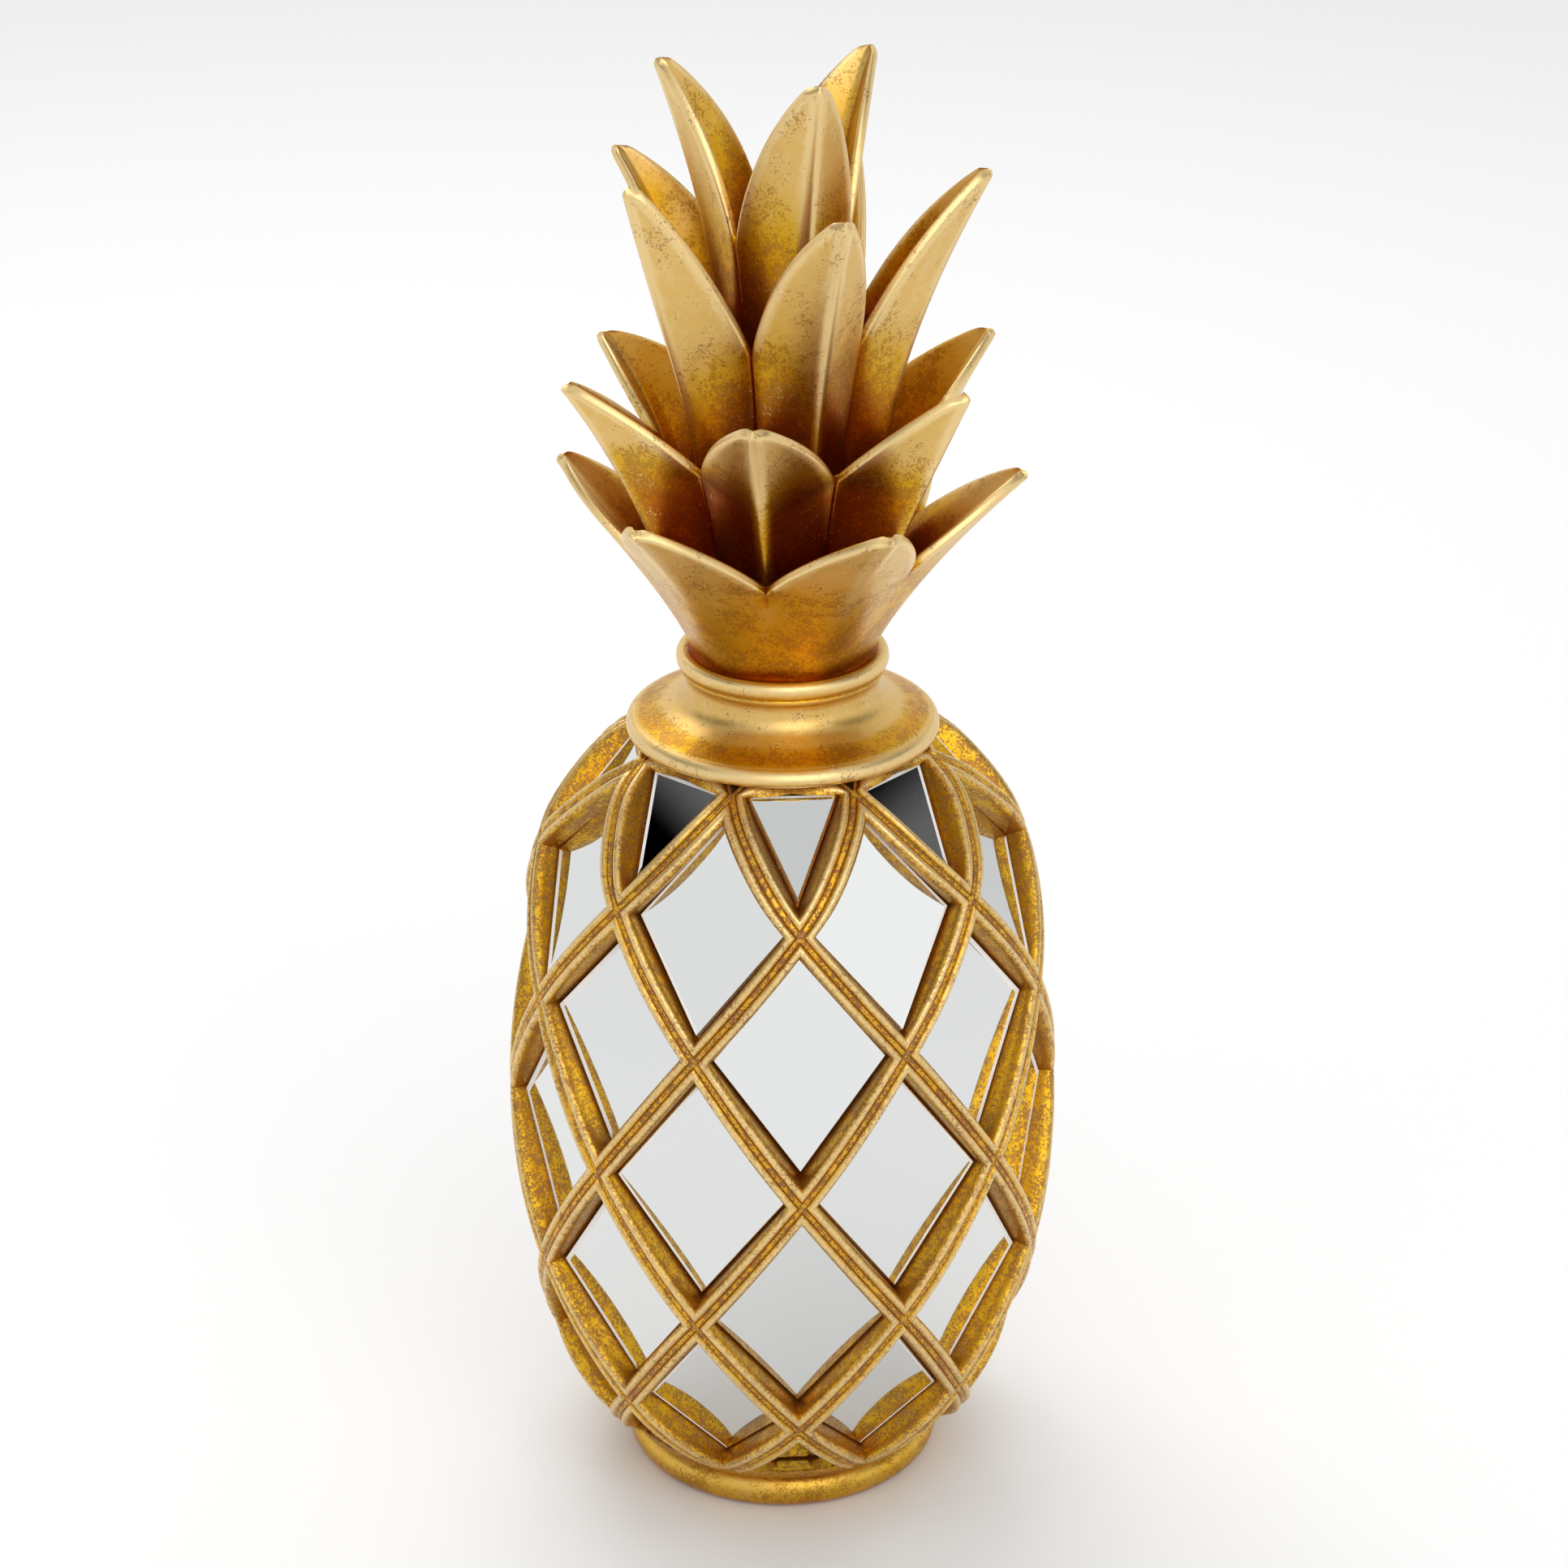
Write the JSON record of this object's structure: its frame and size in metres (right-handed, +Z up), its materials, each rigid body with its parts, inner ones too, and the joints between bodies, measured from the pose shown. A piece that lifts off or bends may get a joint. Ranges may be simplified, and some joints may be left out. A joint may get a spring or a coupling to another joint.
{
  "type": "pineapple sculpture",
  "caption": "Gilded decorative pineapple with a lattice barrel body set with mirror tiles, a turned collar and a tiered leaf crown.",
  "frame": {"origin": "centre of the foot's flat underside", "axes": "+Z up through the crown, -Y towards the front, where a mirror tile faces, and +X to the right seen from the front"},
  "size_m": [0.1744, 0.1744, 0.4639],
  "materials": {
    "gilded_resin": "antique gold leaf over red-brown, rubbed, with dark recesses",
    "mirror": "silvered flat glass"
  },
  "bodies": {
    "root": {"body": "gilded_resin", "crown": "gilded_resin", "mirror_row1_1": "mirror", "mirror_row1_2": "mirror", "mirror_row1_3": "mirror", "mirror_row1_4": "mirror", "mirror_row1_5": "mirror", "mirror_row1_6": "mirror", "mirror_row1_7": "mirror", "mirror_row1_8": "mirror", "mirror_row2_1": "mirror", "mirror_row2_2": "mirror", "mirror_row2_3": "mirror", "mirror_row2_4": "mirror", "mirror_row2_5": "mirror", "mirror_row2_6": "mirror", "mirror_row2_7": "mirror", "mirror_row2_8": "mirror", "mirror_row3_1": "mirror", "mirror_row3_2": "mirror", "mirror_row3_3": "mirror", "mirror_row3_4": "mirror", "mirror_row3_5": "mirror", "mirror_row3_6": "mirror", "mirror_row3_7": "mirror", "mirror_row3_8": "mirror", "mirror_row4_1": "mirror", "mirror_row4_2": "mirror", "mirror_row4_3": "mirror", "mirror_row4_4": "mirror", "mirror_row4_5": "mirror", "mirror_row4_6": "mirror", "mirror_row4_7": "mirror", "mirror_row4_8": "mirror", "mirror_row5_1": "mirror", "mirror_row5_2": "mirror", "mirror_row5_3": "mirror", "mirror_row5_4": "mirror", "mirror_row5_5": "mirror", "mirror_row5_6": "mirror", "mirror_row5_7": "mirror", "mirror_row5_8": "mirror", "mirror_row6_1": "mirror", "mirror_row6_2": "mirror", "mirror_row6_3": "mirror", "mirror_row6_4": "mirror", "mirror_row6_5": "mirror", "mirror_row6_6": "mirror", "mirror_row6_7": "mirror", "mirror_row6_8": "mirror", "mirror_row7_1": "mirror", "mirror_row7_2": "mirror", "mirror_row7_3": "mirror", "mirror_row7_4": "mirror", "mirror_row7_5": "mirror", "mirror_row7_6": "mirror", "mirror_row7_7": "mirror", "mirror_row7_8": "mirror"}
  },
  "joints": []
}
